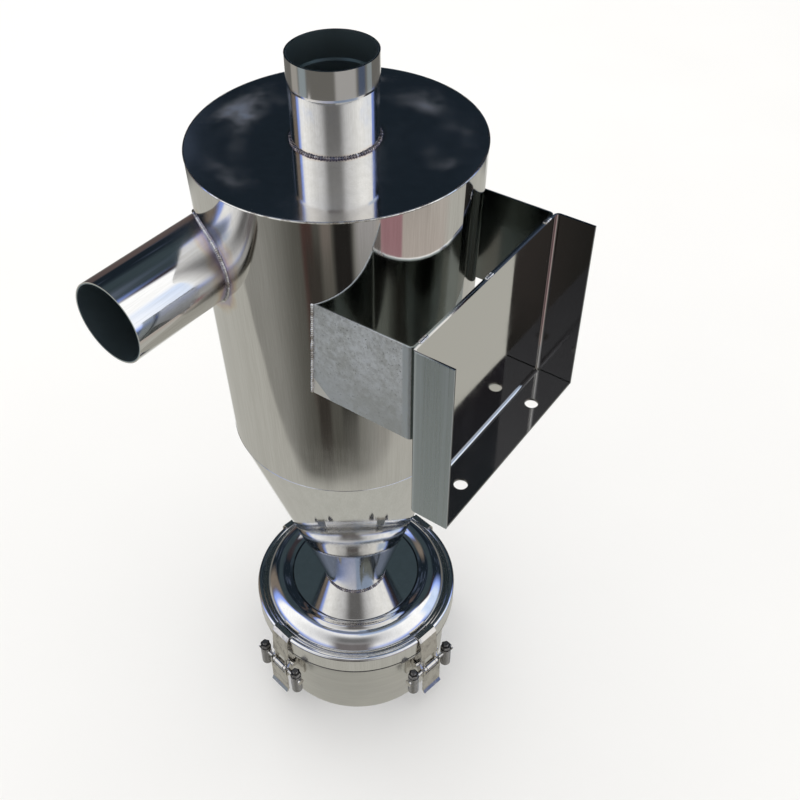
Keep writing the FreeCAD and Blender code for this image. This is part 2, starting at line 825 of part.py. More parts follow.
make_outlet_pipe()
make_outlet_weld()
make_top_plate()
make_barrel()
make_cone()
make_neck_weld()
make_inlet()
make_strap()
make_strap_welds()
make_tray()
make_web_tacks()
make_lid_pressing()
make_lid_rim()
make_gasket()
make_bin()
make_latches()
check_and_write()
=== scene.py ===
import json
import math
import random

import bmesh
import bpy
from mathutils import Matrix, Vector


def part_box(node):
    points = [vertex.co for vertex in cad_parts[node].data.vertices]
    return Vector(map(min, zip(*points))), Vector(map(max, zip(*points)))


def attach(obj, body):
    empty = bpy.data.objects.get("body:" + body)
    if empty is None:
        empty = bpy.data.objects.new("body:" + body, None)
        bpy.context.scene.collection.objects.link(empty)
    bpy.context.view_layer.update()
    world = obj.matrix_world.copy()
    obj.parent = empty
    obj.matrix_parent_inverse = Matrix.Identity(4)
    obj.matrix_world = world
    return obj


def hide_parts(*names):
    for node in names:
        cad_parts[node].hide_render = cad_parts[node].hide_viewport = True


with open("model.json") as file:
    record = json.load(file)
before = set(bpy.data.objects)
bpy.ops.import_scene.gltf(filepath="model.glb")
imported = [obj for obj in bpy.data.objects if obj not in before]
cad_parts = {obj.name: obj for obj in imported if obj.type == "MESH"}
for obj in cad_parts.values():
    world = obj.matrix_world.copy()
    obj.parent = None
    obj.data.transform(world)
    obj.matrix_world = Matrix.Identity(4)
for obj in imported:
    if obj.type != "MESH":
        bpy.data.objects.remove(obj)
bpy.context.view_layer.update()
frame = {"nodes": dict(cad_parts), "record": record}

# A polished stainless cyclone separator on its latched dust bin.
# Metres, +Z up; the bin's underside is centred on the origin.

NODES = frame["nodes"]
MM = 0.001
TUBE_WALL = 1.5 * MM        # of the inlet pipe
NECK_BEAD = 2.4 * MM        # how far the neck's weld stands out from the cone
SHARP = math.radians(35)    # a piece's edge is drawn sharp from this face angle on

# ---- places read from the frame ------------------------------------------------------

outlet_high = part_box("outlet_pipe")[1]
plate_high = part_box("top_plate")[1]
barrel_low, barrel_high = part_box("barrel_shell")
cone_low, cone_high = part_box("cone_shell")
strap_low, strap_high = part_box("mounting_strap")
tray_low, tray_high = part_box("mounting_tray")
lid_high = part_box("lid_pressing")[1]
MOUNTS = {mount["name"]: mount for mount in frame["record"]["mounts"]}

total_height = outlet_high.z
plate_radius = plate_high.x
barrel_top = barrel_high.x
cone_top = cone_high.x
neck_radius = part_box("neck_weld")[1].x - NECK_BEAD
spigot = MOUNTS["outlet_spigot"]["dims"]
spigot_foot = outlet_high.z - spigot["length_mm"] * MM
pipe_radius = MOUNTS["inlet_bore"]["dims"]["r_mm"] * MM + TUBE_WALL
inlet_way = Vector(MOUNTS["inlet_bore"]["axis"]).normalized()
inlet_point = Vector(MOUNTS["inlet_bore"]["pos_m"])
inlet_side = Vector((0, 0, 1)).cross(inlet_way).normalized()

# ---- shader helpers ------------------------------------------------------------------

def put(tree, kind, feeds=None, **settings):
    """Add a node. feeds gives its inputs by name or number, as values or as sockets."""
    made = tree.nodes.new(kind)
    for name, value in settings.items():
        setattr(made, name, value)
    for key, value in (feeds or {}).items():
        if isinstance(value, bpy.types.NodeSocket):
            tree.links.new(value, made.inputs[key])
        else:
            made.inputs[key].default_value = value
    return made


def sums(tree, operation, first, second=0.0):
    return put(tree, "ShaderNodeMath", {0: first, 1: second}, operation=operation).outputs[0]


def mix_colours(tree, share, first, second, way="MIX"):
    feeds = {0: share, 6: first, 7: second}
    return put(tree, "ShaderNodeMix", feeds, data_type="RGBA", blend_type=way).outputs[2]


def step_between(tree, value, low, high, low_out=0.0, high_out=1.0):
    """Smooth step from low_out to high_out as value goes from low to high."""
    feeds = {"Value": value, "From Min": low, "From Max": high,
             "To Min": low_out, "To Max": high_out}
    return put(tree, "ShaderNodeMapRange", feeds, interpolation_type="SMOOTHSTEP").outputs[0]


def noise(tree, vector, scale, detail=3.0, roughness=0.5):
    feeds = {"Vector": vector, "Scale": scale, "Detail": detail, "Roughness": roughness}
    return put(tree, "ShaderNodeTexNoise", feeds).outputs["Fac"]


def vectors(tree, operation, first, second, output=0):
    feeds = {0: first, 1: second}
    return put(tree, "ShaderNodeVectorMath", feeds, operation=operation).outputs[output]


def stretched(tree, vector, stretch):
    return vectors(tree, "MULTIPLY", vector, stretch)


def length_of(tree, vector):
    made = put(tree, "ShaderNodeVectorMath", {0: vector}, operation="LENGTH")
    return made.outputs["Value"]


def off_axis(tree, where):
    """Distance from the object's upright axis."""
    return length_of(tree, stretched(tree, where, (1.0, 1.0, 0.0)))


def half_turn(tree, degrees):
    """The same direction, as an angle between -180 and 180 degrees."""
    feeds = {0: degrees, 1: 180.0, 2: -180.0}
    return put(tree, "ShaderNodeMath", feeds, operation="WRAP").outputs[0]


def blend(tree, share, first, second):
    """Between two plain numbers or sockets."""
    return put(tree, "ShaderNodeMix", {0: share, 2: first, 3: second}).outputs[0]


def grey(level):
    return (level, level, level, 1.0)


def tone(red, green, blue):
    return (red, green, blue, 1.0)


def new_group(name, inputs, outputs):
    """A shader group with named sockets: (name, kind, default) and (name, kind)."""
    tree = bpy.data.node_groups.new(name, "ShaderNodeTree")
    for socket, kind, default in inputs:
        made = tree.interface.new_socket(socket, in_out="INPUT", socket_type=kind)
        made.default_value = default
    for socket, kind in outputs:
        tree.interface.new_socket(socket, in_out="OUTPUT", socket_type=kind)
    return tree, tree.nodes.new("NodeGroupInput"), tree.nodes.new("NodeGroupOutput")


def place_group(tree, group, feeds):
    return put(tree, "ShaderNodeGroup", feeds, node_tree=group)


FLOAT, COLOUR, VECTOR = "NodeSocketFloat", "NodeSocketColor", "NodeSocketVector"


def make_haze_group():
    """Wiping marks and fingerprints: an uneven gloss, with the sheet's slow waviness."""
    tree, given, result = new_group(
        "polish_haze",
        [("Vector", VECTOR, (0, 0, 0)), ("Clear", FLOAT, 0.04), ("Hazy", FLOAT, 0.14),
         ("Smear size", FLOAT, 14.0), ("Waviness", FLOAT, 1.0)],
        [("Roughness", FLOAT), ("Height", FLOAT), ("Smear", FLOAT)])
    cloud = noise(tree, given.outputs["Vector"], given.outputs["Smear size"], 4.0, 0.6)
    smear = step_between(tree, cloud, 0.42, 0.72)
    speck = noise(tree, given.outputs["Vector"], 900.0, 1.0)
    spread = sums(tree, "SUBTRACT", given.outputs["Hazy"], given.outputs["Clear"])
    rough = sums(tree, "MULTIPLY", spread, smear)
    rough = sums(tree, "ADD", rough, given.outputs["Clear"])
    rough = sums(tree, "ADD", rough, sums(tree, "MULTIPLY", speck, 0.012))
    wave = noise(tree, given.outputs["Vector"], 11.0, 1.0)
    tree.links.new(rough, result.inputs["Roughness"])
    tree.links.new(sums(tree, "MULTIPLY", wave, given.outputs["Waviness"]),
                   result.inputs["Height"])
    tree.links.new(smear, result.inputs["Smear"])
    return tree


def make_grain_group():
    """Fine parallel scratches. The vector is already stretched along them."""
    tree, given, result = new_group(
        "brushed_grain",
        [("Vector", VECTOR, (0, 0, 0)), ("Density", FLOAT, 900.0)],
        [("Streak", FLOAT), ("Height", FLOAT)])
    fine = noise(tree, given.outputs["Vector"], given.outputs["Density"], 4.0, 0.7)
    coarse_scale = sums(tree, "MULTIPLY", given.outputs["Density"], 0.16)
    coarse = noise(tree, given.outputs["Vector"], coarse_scale, 2.0)
    both = sums(tree, "ADD", sums(tree, "MULTIPLY", fine, 0.6),
                sums(tree, "MULTIPLY", coarse, 0.4))
    tree.links.new(step_between(tree, both, 0.3, 0.7), result.inputs["Streak"])
    tree.links.new(fine, result.inputs["Height"])
    return tree


def make_heat_group():
    """Temper colours beside a weld, by the distance from it."""
    tree, given, result = new_group(
        "heat_tint",
        [("Base", COLOUR, grey(0.8)), ("Distance", FLOAT, 0.0), ("Reach", FLOAT, 0.02),
         ("Vector", VECTOR, (0, 0, 0)), ("Strength", FLOAT, 0.6)],
        [("Colour", COLOUR)])
    ragged = noise(tree, given.outputs["Vector"], 60.0, 2.0)
    share = sums(tree, "DIVIDE", given.outputs["Distance"], given.outputs["Reach"])
    share = sums(tree, "ADD", share, sums(tree, "MULTIPLY",
                                          sums(tree, "SUBTRACT", ragged, 0.5), 0.9))
    ramp = put(tree, "ShaderNodeValToRGB", {0: share})
    stops = ((0.0, (0.20, 0.22, 0.42)), (0.28, (0.34, 0.22, 0.40)),
             (0.5, (0.62, 0.38, 0.16)), (0.75, (0.78, 0.66, 0.45)), (1.0, (0.8, 0.8, 0.8)))
    for number, (place, colour) in enumerate(stops):
        if number < 2:
            stop = ramp.color_ramp.elements[number]
            stop.position = place
        else:
            stop = ramp.color_ramp.elements.new(place)
        stop.color = tone(*colour)
    fade = sums(tree, "MULTIPLY", step_between(tree, share, 1.0, 0.2),
                given.outputs["Strength"])
    colour = mix_colours(tree, fade, given.outputs["Base"], ramp.outputs[0])
    tree.links.new(colour, result.inputs["Colour"])
    return tree


HAZE = make_haze_group()
GRAIN = make_grain_group()
HEAT = make_heat_group()


def new_finish(name, metallic=1.0):
    """A material with a Principled shader; gives its tree, shader and own coordinates."""
    material = bpy.data.materials.new(name)
    material.use_nodes = True
    tree = material.node_tree
    tree.nodes.clear()
    shader = put(tree, "ShaderNodeBsdfPrincipled", {"Metallic": metallic})
    out = put(tree, "ShaderNodeOutputMaterial")
    tree.links.new(shader.outputs[0], out.inputs[0])
    where = put(tree, "ShaderNodeTexCoord").outputs["Object"]
    return material, tree, shader, where


def bump(tree, shader, height, distance, strength=1.0):
    made = put(tree, "ShaderNodeBump",
               {"Height": height, "Distance": distance, "Strength": strength})
    tree.links.new(made.outputs[0], shader.inputs["Normal"])


def split(tree, vector):
    return put(tree, "ShaderNodeSeparateXYZ", {0: vector}).outputs


# ---- finishes --------------------------------------------------------------------------

def polished_steel(name, clear=0.03, hazy=0.10, wave=1.0, upright=True, warmth=0.0):
    """Mirror polished sheet, with faint grain left along the roll direction."""
    material, tree, shader, where = new_finish(name)
    haze = place_group(tree, HAZE, {"Vector": where, "Clear": clear, "Hazy": hazy,
                                    "Waviness": wave})
    along = (1.0, 1.0, 0.02) if upright else (1.0, 0.02, 1.0)
    grain = place_group(tree, GRAIN, {"Vector": stretched(tree, where, along)})
    clean = tone(0.80 + warmth, 0.79, 0.77 - warmth)
    worn = tone(0.70 + warmth, 0.69, 0.665 - warmth)
    colour = mix_colours(tree, grain.outputs["Streak"], worn, clean)
    rough = sums(tree, "ADD", haze.outputs["Roughness"],
                 sums(tree, "MULTIPLY", grain.outputs["Streak"], 0.02))
    tree.links.new(rough, shader.inputs["Roughness"])
    tree.links.new(colour, shader.inputs["Base Color"])
    bump(tree, shader, haze.outputs["Height"], 0.4 * MM)
    return material, tree, shader, where, colour


def lid_steel():
    """The lid's mirror sheet, with a broken dark line of painted shade along the crease of
    the ring.
    """
    material, tree, shader, where, colour = polished_steel("lid_steel", 0.035, 0.08,
                                                           wave=0.5)
    out = off_axis(tree, where)
    # a broken dark line along the crease of the ring: painted shade
    off = sums(tree, "ABSOLUTE", sums(tree, "SUBTRACT", out, lid_high.x - 31.4 * MM))
    line = step_between(tree, off, 1.1 * MM, 0.4 * MM)
    broken = noise(tree, where, 55.0, 2.0)
    line = sums(tree, "MULTIPLY", line, step_between(tree, broken, 0.25, 0.5, 0.55, 1.0))
    tree.links.new(mix_colours(tree, line, colour, tone(0.10, 0.10, 0.105)),
                   shader.inputs["Base Color"])
    return material


def bore_share(tree, where, point, way, radius):
    """One inside a bore of this radius about an axis, nothing outside it."""
    away = vectors(tree, "SUBTRACT", where, point)
    distance = length_of(tree, vectors(tree, "CROSS_PRODUCT", away, way))
    return step_between(tree, distance, radius + 0.1 * MM, radius - 0.1 * MM)


def dull_bore_with_painted_shade(tree, shader, colour, inside):
    """The rougher, less metallic mill finish left inside a tube, with its colour darkened to
    a teal grey as painted shade.
    """
    rough = shader.inputs["Roughness"].links[0].from_socket
    tree.links.new(blend(tree, inside, rough, 0.3), shader.inputs["Roughness"])
    tree.links.new(blend(tree, inside, 1.0, 0.93), shader.inputs["Metallic"])
    # inside the bore the colour turns a dark teal grey: painted shade
    tree.links.new(mix_colours(tree, inside, colour, tone(0.25, 0.32, 0.35)),
                   shader.inputs["Base Color"])


def barrel_steel():
    """The barrel's mirror sheet, with temper colours round the inlet's weld."""
    material, tree, shader, where, colour = polished_steel("barrel_steel", 0.035, 0.085)
    away = vectors(tree, "SUBTRACT", where, inlet_point)
    along = vectors(tree, "DOT_PRODUCT", away, inlet_way, "Value")
    full = length_of(tree, away)
    apart = sums(tree, "SUBTRACT", sums(tree, "POWER", full, 2.0),
                 sums(tree, "POWER", along, 2.0))
    distance = sums(tree, "SUBTRACT", sums(tree, "SQRT", apart), pipe_radius)
    # none on the far side of the barrel
    ahead = vectors(tree, "DOT_PRODUCT", where, inlet_way, "Value")
    distance = sums(tree, "ADD", distance, step_between(tree, ahead, 10 * MM, 0.0, 0.0, 1.0))
    heat = place_group(tree, HEAT, {"Base": colour, "Distance": distance,
                                    "Reach": 14 * MM, "Vector": where, "Strength": 0.5})
    tree.links.new(heat.outputs[0], shader.inputs["Base Color"])
    return material


def plate_steel():
    """The top plate: a flat mirror with soft wiping smears, coloured blue as a painted
    reflection, and a tinted weld ring.
    """
    material, tree, shader, where, colour = polished_steel("plate_steel", 0.05, 0.16)
    out = off_axis(tree, where)
    heat = place_group(tree, HEAT, {
        "Base": colour, "Distance": sums(tree, "SUBTRACT", out, pipe_radius),
        "Reach": 6 * MM, "Vector": where, "Strength": 0.35})
    # real wiping smears in a ring round the plate; their blue colour is a painted reflection
    # of blue-grey haze
    ring = sums(tree, "ABSOLUTE", sums(tree, "SUBTRACT", out, plate_radius * 0.74))
    ring = step_between(tree, ring, plate_radius * 0.24, plate_radius * 0.04)
    cloud = step_between(tree, noise(tree, where, 12.0, 3.0, 0.55), 0.40, 0.68)
    streak = step_between(tree, noise(tree, where, 30.0, 3.0, 0.6), 0.25, 0.75)
    film = sums(tree, "MULTIPLY", sums(tree, "MULTIPLY", ring, cloud), streak)
    tree.links.new(mix_colours(tree, film, heat.outputs[0], tone(0.46, 0.56, 0.80)),
                   shader.inputs["Base Color"])
    tree.links.new(step_between(tree, film, 0.0, 1.0, 1.0, 0.74), shader.inputs["Metallic"])
    return material


def outlet_steel():
    """Mirror tube whose expanded end keeps a duller, brushed finish."""
    material, tree, shader, where, colour = polished_steel("outlet_steel", 0.03, 0.07)
    level = split(tree, where)[2]
    dull = step_between(tree, level, spigot_foot - 2.2 * MM, spigot_foot - 1.2 * MM)
    rough = shader.inputs["Roughness"].links[0].from_socket
    rough = sums(tree, "ADD", rough, sums(tree, "MULTIPLY", dull, 0.05))
    tree.links.new(rough, shader.inputs["Roughness"])
    faded = mix_colours(tree, dull, colour, tone(0.62, 0.60, 0.57))
    inside = bore_share(tree, where, (0, 0, 0), (0, 0, 1), pipe_radius - 0.5 * MM)
    # a rough bore, its colour darkened as painted shade
    dull_bore_with_painted_shade(tree, shader, faded, inside)
    return material


def inlet_steel():
    """Mirror tube, hand finished and tinted near its weld, dull and darkened by painted shade
    in the bore.
    """
    material, tree, shader, where, colour = polished_steel("inlet_steel", 0.03, 0.07,
                                                           upright=False)
    out = off_axis(tree, where)
    near = step_between(tree, out, barrel_top + 45 * MM, barrel_top + 8 * MM)
    heat = place_group(tree, HEAT, {
        "Base": colour, "Distance": sums(tree, "SUBTRACT", out, barrel_top - 2 * MM),
        "Reach": 16 * MM, "Vector": where, "Strength": 0.4})
    rough = shader.inputs["Roughness"].links[0].from_socket
    rough = sums(tree, "ADD", rough, sums(tree, "MULTIPLY", near, 0.17))
    tree.links.new(rough, shader.inputs["Roughness"])
    inside = bore_share(tree, where, inlet_point, inlet_way, pipe_radius - 0.75 * MM)
    # a rough bore, its colour darkened as painted shade
    dull_bore_with_painted_shade(tree, shader, heat.outputs[0], inside)
    return material


def strap_steel():
    """Matt sheet with the mottled remains of its protective film; its bare inner faces are
    painted dark as shade.
    """
    material, tree, shader, where = new_finish("strap_steel")
    across, side, height = split(tree, where)[:3]
    aside = sums(tree, "ABSOLUTE", side)
    blotch = noise(tree, where, 210.0, 5.0, 0.8)
    patch = noise(tree, where, 30.0, 3.0, 0.55)
    pits = noise(tree, where, 620.0, 2.0, 0.6)
    mottle = sums(tree, "ADD", sums(tree, "MULTIPLY", blotch, 0.75),
                  sums(tree, "MULTIPLY", patch, 0.25))
    mottle = step_between(tree, mottle, 0.38, 0.62)
    film = mix_colours(tree, mottle, tone(0.58, 0.60, 0.615), tone(0.83, 0.855, 0.87))
    film = mix_colours(tree, step_between(tree, pits, 0.62, 0.72), film,
                       tone(0.34, 0.35, 0.36))
    # the sheet is drawn darker towards the bottom
    lift = step_between(tree, height, strap_low.z, strap_high.z - 20 * MM)
    dimmer = mix_colours(tree, 0.6, film, tone(0.50, 0.53, 0.545))
    film = mix_colours(tree, lift, dimmer, film)
    bend = step_between(tree, across, strap_high.x - 9 * MM, strap_high.x - 7 * MM)
    bare = mix_colours(tree, bend, film, tone(0.56, 0.60, 0.62))
    corner = sums(tree, "ADD", sums(tree, "SUBTRACT", across, strap_low.x),
                  sums(tree, "SUBTRACT", height, strap_low.z))
    torn = step_between(tree, corner, 17 * MM, 16 * MM)
    bare = mix_colours(tree, torn, bare, tone(0.88, 0.86, 0.82))
    skin = step_between(tree, aside, strap_high.y - 1.0 * MM, strap_high.y - 0.6 * MM)
    # the bare inner faces are painted dark: painted shade inside the bracket
    shaded = mix_colours(tree, patch, tone(0.17, 0.19, 0.18), tone(0.25, 0.275, 0.26))
    tree.links.new(mix_colours(tree, skin, shaded, bare), shader.inputs["Base Color"])
    coarse = sums(tree, "ADD", 0.30, sums(tree, "MULTIPLY", mottle, 0.18))
    tree.links.new(blend(tree, skin, 0.17, coarse), shader.inputs["Roughness"])
    relief = sums(tree, "ADD", sums(tree, "MULTIPLY", blotch, 0.5), pits)
    bump(tree, shader, sums(tree, "MULTIPLY", relief, skin), 0.10 * MM, 0.7)
    return material


def tray_steel():
    """Brushed outside, mirror inside, as the sheet was folded with its good side in; the
    inner faces of its flanges carry a painted dark reflection.
    """
    material, tree, shader, where = new_finish("tray_steel")
    x, y, z = split(tree, where)[:3]
    half = tray_high.y
    side = step_between(tree, sums(tree, "ABSOLUTE", y), half - 1.2 * MM, half - 0.6 * MM)
    back = step_between(tree, x, tray_low.x + 0.8 * MM, tray_low.x + 0.3 * MM)
    under = step_between(tree, z, tray_low.z + 0.8 * MM, tray_low.z + 0.3 * MM)
    outside = sums(tree, "MAXIMUM", side, sums(tree, "MAXIMUM", back, under))
    grain = place_group(tree, GRAIN, {"Vector": stretched(tree, where, (1.0, 1.0, 0.012)),
                                      "Density": 420.0})
    haze = place_group(tree, HAZE, {"Vector": where, "Clear": 0.04, "Hazy": 0.12,
                                    "Waviness": 0.6})
    brushed = mix_colours(tree, grain.outputs["Streak"], tone(0.40, 0.45, 0.46),
                          tone(0.52, 0.57, 0.59))
    # the inner faces of the side and bottom flanges are painted near black: a painted dark
    # reflection
    flank = step_between(tree, sums(tree, "ABSOLUTE", y), half - 2.6 * MM, half - 1.9 * MM)
    fold = step_between(tree, z, tray_low.z + 2.6 * MM, tray_low.z + 1.9 * MM)
    shaded = sums(tree, "MAXIMUM", flank, sums(tree, "MULTIPLY", fold, 0.7))
    mirror = mix_colours(tree, shaded, tone(0.74, 0.73, 0.70), tone(0.13, 0.13, 0.14))
    colour = mix_colours(tree, outside, mirror, brushed)
    tree.links.new(colour, shader.inputs["Base Color"])
    dull = sums(tree, "ADD", 0.24, sums(tree, "MULTIPLY", grain.outputs["Streak"], 0.16))
    rough = blend(tree, outside, haze.outputs["Roughness"], dull)
    tree.links.new(rough, shader.inputs["Roughness"])
    scored = sums(tree, "MULTIPLY", grain.outputs["Height"], outside)
    relief = sums(tree, "ADD", haze.outputs["Height"], sums(tree, "MULTIPLY", scored, 0.12))
    bump(tree, shader, relief, 0.25 * MM)
    return material


def satin_steel():
    """The bin: satin sheet with level, turned grain."""
    material, tree, shader, where = new_finish("satin_steel")
    grain = place_group(tree, GRAIN, {"Vector": stretched(tree, where, (0.03, 0.03, 1.0)),
                                      "Density": 1500.0})
    haze = place_group(tree, HAZE, {"Vector": where, "Clear": 0.27, "Hazy": 0.36,
                                    "Waviness": 0.7})
    colour = mix_colours(tree, grain.outputs["Streak"], tone(0.65, 0.64, 0.605),
                         tone(0.74, 0.73, 0.695))
    tree.links.new(colour, shader.inputs["Base Color"])
    tree.links.new(haze.outputs["Roughness"], shader.inputs["Roughness"])
    relief = sums(tree, "ADD", haze.outputs["Height"],
                  sums(tree, "MULTIPLY", grain.outputs["Height"], 0.03))
    bump(tree, shader, relief, 0.2 * MM)
    return material


def latch_steel():
    """Tumbled stamped steel: warm grey, with rubbed marks and small dents."""
    material, tree, shader, where = new_finish("latch_steel")
    haze = place_group(tree, HAZE, {"Vector": where, "Clear": 0.14, "Hazy": 0.34,
                                    "Smear size": 120.0, "Waviness": 0.3})
    scratch = noise(tree, stretched(tree, where, (1.0, 1.0, 0.15)), 700.0, 3.0, 0.7)
    colour = mix_colours(tree, haze.outputs["Smear"], tone(0.60, 0.575, 0.53),
                         tone(0.40, 0.38, 0.345))
    colour = mix_colours(tree, step_between(tree, scratch, 0.62, 0.75), colour,
                         tone(0.86, 0.84, 0.80))
    tree.links.new(colour, shader.inputs["Base Color"])
    tree.links.new(haze.outputs["Roughness"], shader.inputs["Roughness"])
    bump(tree, shader, scratch, 0.05 * MM, 0.5)
    return material


def spring_steel():
    """Dark wire wound tight: level rings of relief, with painted shade in the gaps between
    them.
    """
    material, tree, shader, where = new_finish("spring_steel")
    turns = put(tree, "ShaderNodeTexWave", {"Vector": where, "Scale": 190.0},
                bands_direction="Z").outputs["Fac"]
    # dark bands in the gaps between the turns: painted shade
    colour = mix_colours(tree, turns, tone(0.09, 0.085, 0.08), tone(0.58, 0.56, 0.52))
    tree.links.new(colour, shader.inputs["Base Color"])
    tree.links.new(step_between(tree, turns, 0.0, 1.0, 0.5, 0.2), shader.inputs["Roughness"])
    bump(tree, shader, turns, 0.6 * MM)
    return material


def weld_steel():
    """Weld metal: dull, tinted blue and brown, with bright crests."""
    material, tree, shader, where = new_finish("weld_steel")
    patch = noise(tree, where, 240.0, 3.0, 0.6)
    tint = mix_colours(tree, step_between(tree, patch, 0.38, 0.55), tone(0.13, 0.13, 0.17),
                       tone(0.27, 0.24, 0.23))
    tint = mix_colours(tree, step_between(tree, patch, 0.56, 0.66), tint,
                       tone(0.82, 0.82, 0.84))
    tree.links.new(tint, shader.inputs["Base Color"])
    tree.links.new(step_between(tree, patch, 0.35, 0.65, 0.34, 0.12),
                   shader.inputs["Roughness"])
    bump(tree, shader, patch, 0.15 * MM, 0.6)
    return material


def bead_steel():
    """A cleaned weld bead, bright on top."""
    material, tree, shader, where = new_finish("bead_steel")
    patch = noise(tree, where, 160.0, 3.0, 0.6)
    tint = mix_colours(tree, step_between(tree, patch, 0.35, 0.6), tone(0.42, 0.38, 0.33),
                       tone(0.80, 0.79, 0.76))
    tree.links.new(tint, shader.inputs["Base Color"])
    tree.links.new(step_between(tree, patch, 0.35, 0.65, 0.30, 0.12),
                   shader.inputs["Roughness"])
    bump(tree, shader, patch, 0.1 * MM, 0.5)
    return material


def rubber():
    """Black rubber with dust on it."""
    material, tree, shader, where = new_finish("gasket_rubber", metallic=0.0)
    dust = noise(tree, where, 180.0, 4.0, 0.7)
    colour = mix_colours(tree, step_between(tree, dust, 0.45, 0.75), tone(0.02, 0.02, 0.021),
                         tone(0.075, 0.07, 0.065))
    tree.links.new(colour, shader.inputs["Base Color"])
    tree.links.new(step_between(tree, dust, 0.3, 0.7, 0.45, 0.75),
                   shader.inputs["Roughness"])
    bump(tree, shader, dust, 0.2 * MM, 0.5)
    return material


FINISH = {
    "barrel_shell": barrel_steel(),
    "top_plate": plate_steel(),
    "outlet_pipe": outlet_steel(),
    "inlet_pipe": inlet_steel(),
    "cone_shell": polished_steel("cone_steel", 0.03, 0.07)[0],
    "lid_pressing": lid_steel(),
    "lid_rim": polished_steel("rim_steel", 0.10, 0.17, wave=0.5)[0],
    "mounting_strap": strap_steel(),
    "mounting_tray": tray_steel(),
    "lid_gasket": rubber(),
    "bin_wall": satin_steel(),
}
FINISH["bin_floor"] = FINISH["bin_rim"] = FINISH["bin_wall"]
LATCH = latch_steel()
SPRING = spring_steel()
WELD = weld_steel()
BEAD = bead_steel()


def dress_frame():
    """Give every node of the frame its finish."""
    for name, thing in NODES.items():
        finish = FINISH.get(name, LATCH if name.startswith("latch_") else WELD)
        if name.endswith("_springs"):
            finish = SPRING
        if not thing.data.materials:
            thing.data.materials.append(finish)
        for number in range(len(thing.material_slots)):
            thing.material_slots[number].material = finish


# ---- pieces ----------------------------------------------------------------------------

def finished(bm, name, material, body, replaced=()):
    """Turn a bmesh into a smooth-shaded piece that rides on a body."""
    bmesh.ops.recalc_face_normals(bm, faces=bm.faces)
    mesh = bpy.data.meshes.new(name)
    for face in bm.faces:
        face.smooth = True
    for edge in bm.edges:
        edge.smooth = edge.calc_face_angle(0) < SHARP
    bm.to_mesh(mesh)
    bm.free()
    mesh.materials.append(material)
    piece = bpy.data.objects.new(name, mesh)
    bpy.context.scene.collection.objects.link(piece)
    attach(piece, body)
    if replaced:
        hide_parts(*replaced)
    return piece


def ripples(bm, spots, length, width, height, seed):
    """Overlapping weld ripples. A spot is (place, along the seam, out of the seam)."""
    draw = random.Random(seed)
    for place, along, out in spots:
        along = along.normalized()
        out = (out - along * out.dot(along)).normalized()
        across = along.cross(out)
        turn = Matrix((along, across, out)).transposed().to_4x4()
        size = 1 + draw.uniform(-0.16, 0.16)
        scale = Matrix.Diagonal((length * size, width * size, height * size, 1))
        bmesh.ops.create_icosphere(bm, subdivisions=2, radius=1,
                                   matrix=Matrix.Translation(place) @ turn @ scale)


def ring_spots(radius, level, pitch):
    """Spots evenly round the axis, leaning up and out at 45 degrees."""
    count = round(2 * math.pi * radius / pitch)
    for number in range(count):
        angle = 2 * math.pi * number / count
        radial = Vector((math.cos(angle), math.sin(angle), 0))
        along = Vector((-radial.y, radial.x, 0))
        yield radial * radius + Vector((0, 0, level)), along, radial + Vector((0, 0, 1.0))


def barrel_radius(level):
    """The tapered barrel's outside at a level."""
    share = (level - barrel_low.z) / (barrel_high.z - barrel_low.z)
    return cone_top + (barrel_top - cone_top) * share


def saddle_spots(radius, pitch):
    """Spots along the line where the inlet pipe enters the barrel."""
    count = round(2 * math.pi * radius / pitch)
    rim = []
    for number in range(count):
        angle = 2 * math.pi * number / count
        offset = inlet_side * (radius * math.cos(angle))
        offset += Vector((0, 0, radius * math.sin(angle)))
        base = inlet_point + offset
        sideways = base.dot(inlet_side)
        reach = math.sqrt(barrel_radius(base.z) ** 2 - sideways ** 2)
        place = inlet_side * sideways + inlet_way * reach + Vector((0, 0, base.z))
        rim.append((place, offset.normalized()))
    for number, (place, outward) in enumerate(rim):
        after = rim[(number + 1) % count][0]
        radial = Vector((place.x, place.y, 0)).normalized()
        yield place, after - place, outward + radial


def strap_spots(side):
    """Spots up one side of the strap, where it meets the barrel."""
    count = 46
    for number in range(count):
        level = strap_low.z + (strap_high.z - strap_low.z) * (number + 0.5) / count
        y = side * (strap_high.y + 0.4 * MM)
        x = math.sqrt(barrel_radius(level) ** 2 - y ** 2)
        yield Vector((x, y, level)), Vector((0, 0, 1)), Vector((0.6, side, 0))


def tack_spots():
    """Three tacks along the bracket's upper edge: one in the middle, one near each end."""
    reach = strap_high.y - 12 * MM
    for share in (-1, 0, 1):
        for step in range(-3, 4):
            y = share * reach + step * 1.2 * MM
            place = Vector((strap_high.x, y, strap_high.z + 0.1 * MM))
            yield place, Vector((0, 1, 0)), Vector((0, 0, 1))


def weld_piece(name, material, node, size, *runs):
    """A rippled bead in place of a node. size is half a ripple's length, width and height
    in millimetres; a run is (spots, seed)."""
    length, width, height = (half * MM for half in size)
    bm = bmesh.new()
    for spots, seed in runs:
        ripples(bm, spots, length, width, height, seed)
    finished(bm, name, material, "separator", replaced=[node])


